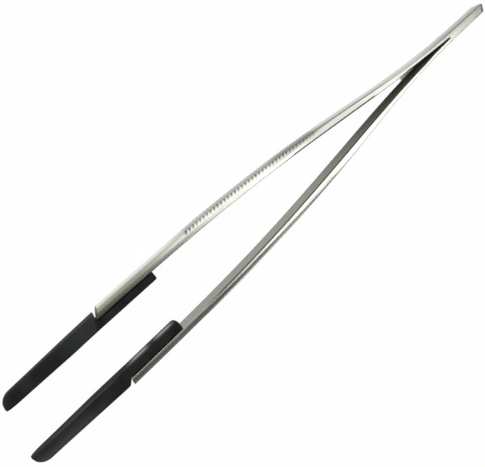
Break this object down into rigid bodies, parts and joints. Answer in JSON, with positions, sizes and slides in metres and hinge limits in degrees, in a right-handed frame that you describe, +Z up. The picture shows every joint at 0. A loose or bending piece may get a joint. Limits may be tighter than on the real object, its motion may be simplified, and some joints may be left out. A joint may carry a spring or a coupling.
{
  "type": "aquascaping tweezers",
  "caption": "Long straight steel tweezers: bowed spring arms welded at the heel, cross-grooved finger grips and slim black plastic tips.",
  "frame": {"origin": "under the middle of the tweezers' box, on the surface they lie on", "axes": "+X from the heel to the tips, +Y to the left arm, +Z up across the width of the arms, which lie on their side edges"},
  "size_m": [0.272, 0.0314, 0.009],
  "materials": {
    "steel": "satin, ground lengthwise",
    "plastic": "smooth black, low sheen",
    "dowel": "plain turned"
  },
  "bodies": {
    "heel": {"heel": "steel"},
    "left_arm": {"left_arm": "steel", "left_tip": "plastic", "left_pin_front": "dowel", "left_pin_rear": "dowel"},
    "right_arm": {"right_arm": "steel", "right_tip": "plastic", "right_pin_front": "dowel", "right_pin_rear": "dowel"}
  },
  "joints": [
    {"name": "left_bend", "type": "hinge", "parent": "heel", "child": "left_arm", "pos_m": [-0.1122, 0.00106, 0.0045], "axis": [0, 0, 1], "range_deg": [-2.05, 0], "stiffness_Nm_per_rad": 10},
    {"name": "right_bend", "type": "hinge", "parent": "heel", "child": "right_arm", "pos_m": [-0.1122, -0.00114, 0.0045], "axis": [0, 0, 1], "range_deg": [0, 2.05], "stiffness_Nm_per_rad": 10}
  ],
  "couplings": [
    {"joint": "right_bend", "follows": "left_bend", "ratio": -1}
  ]
}
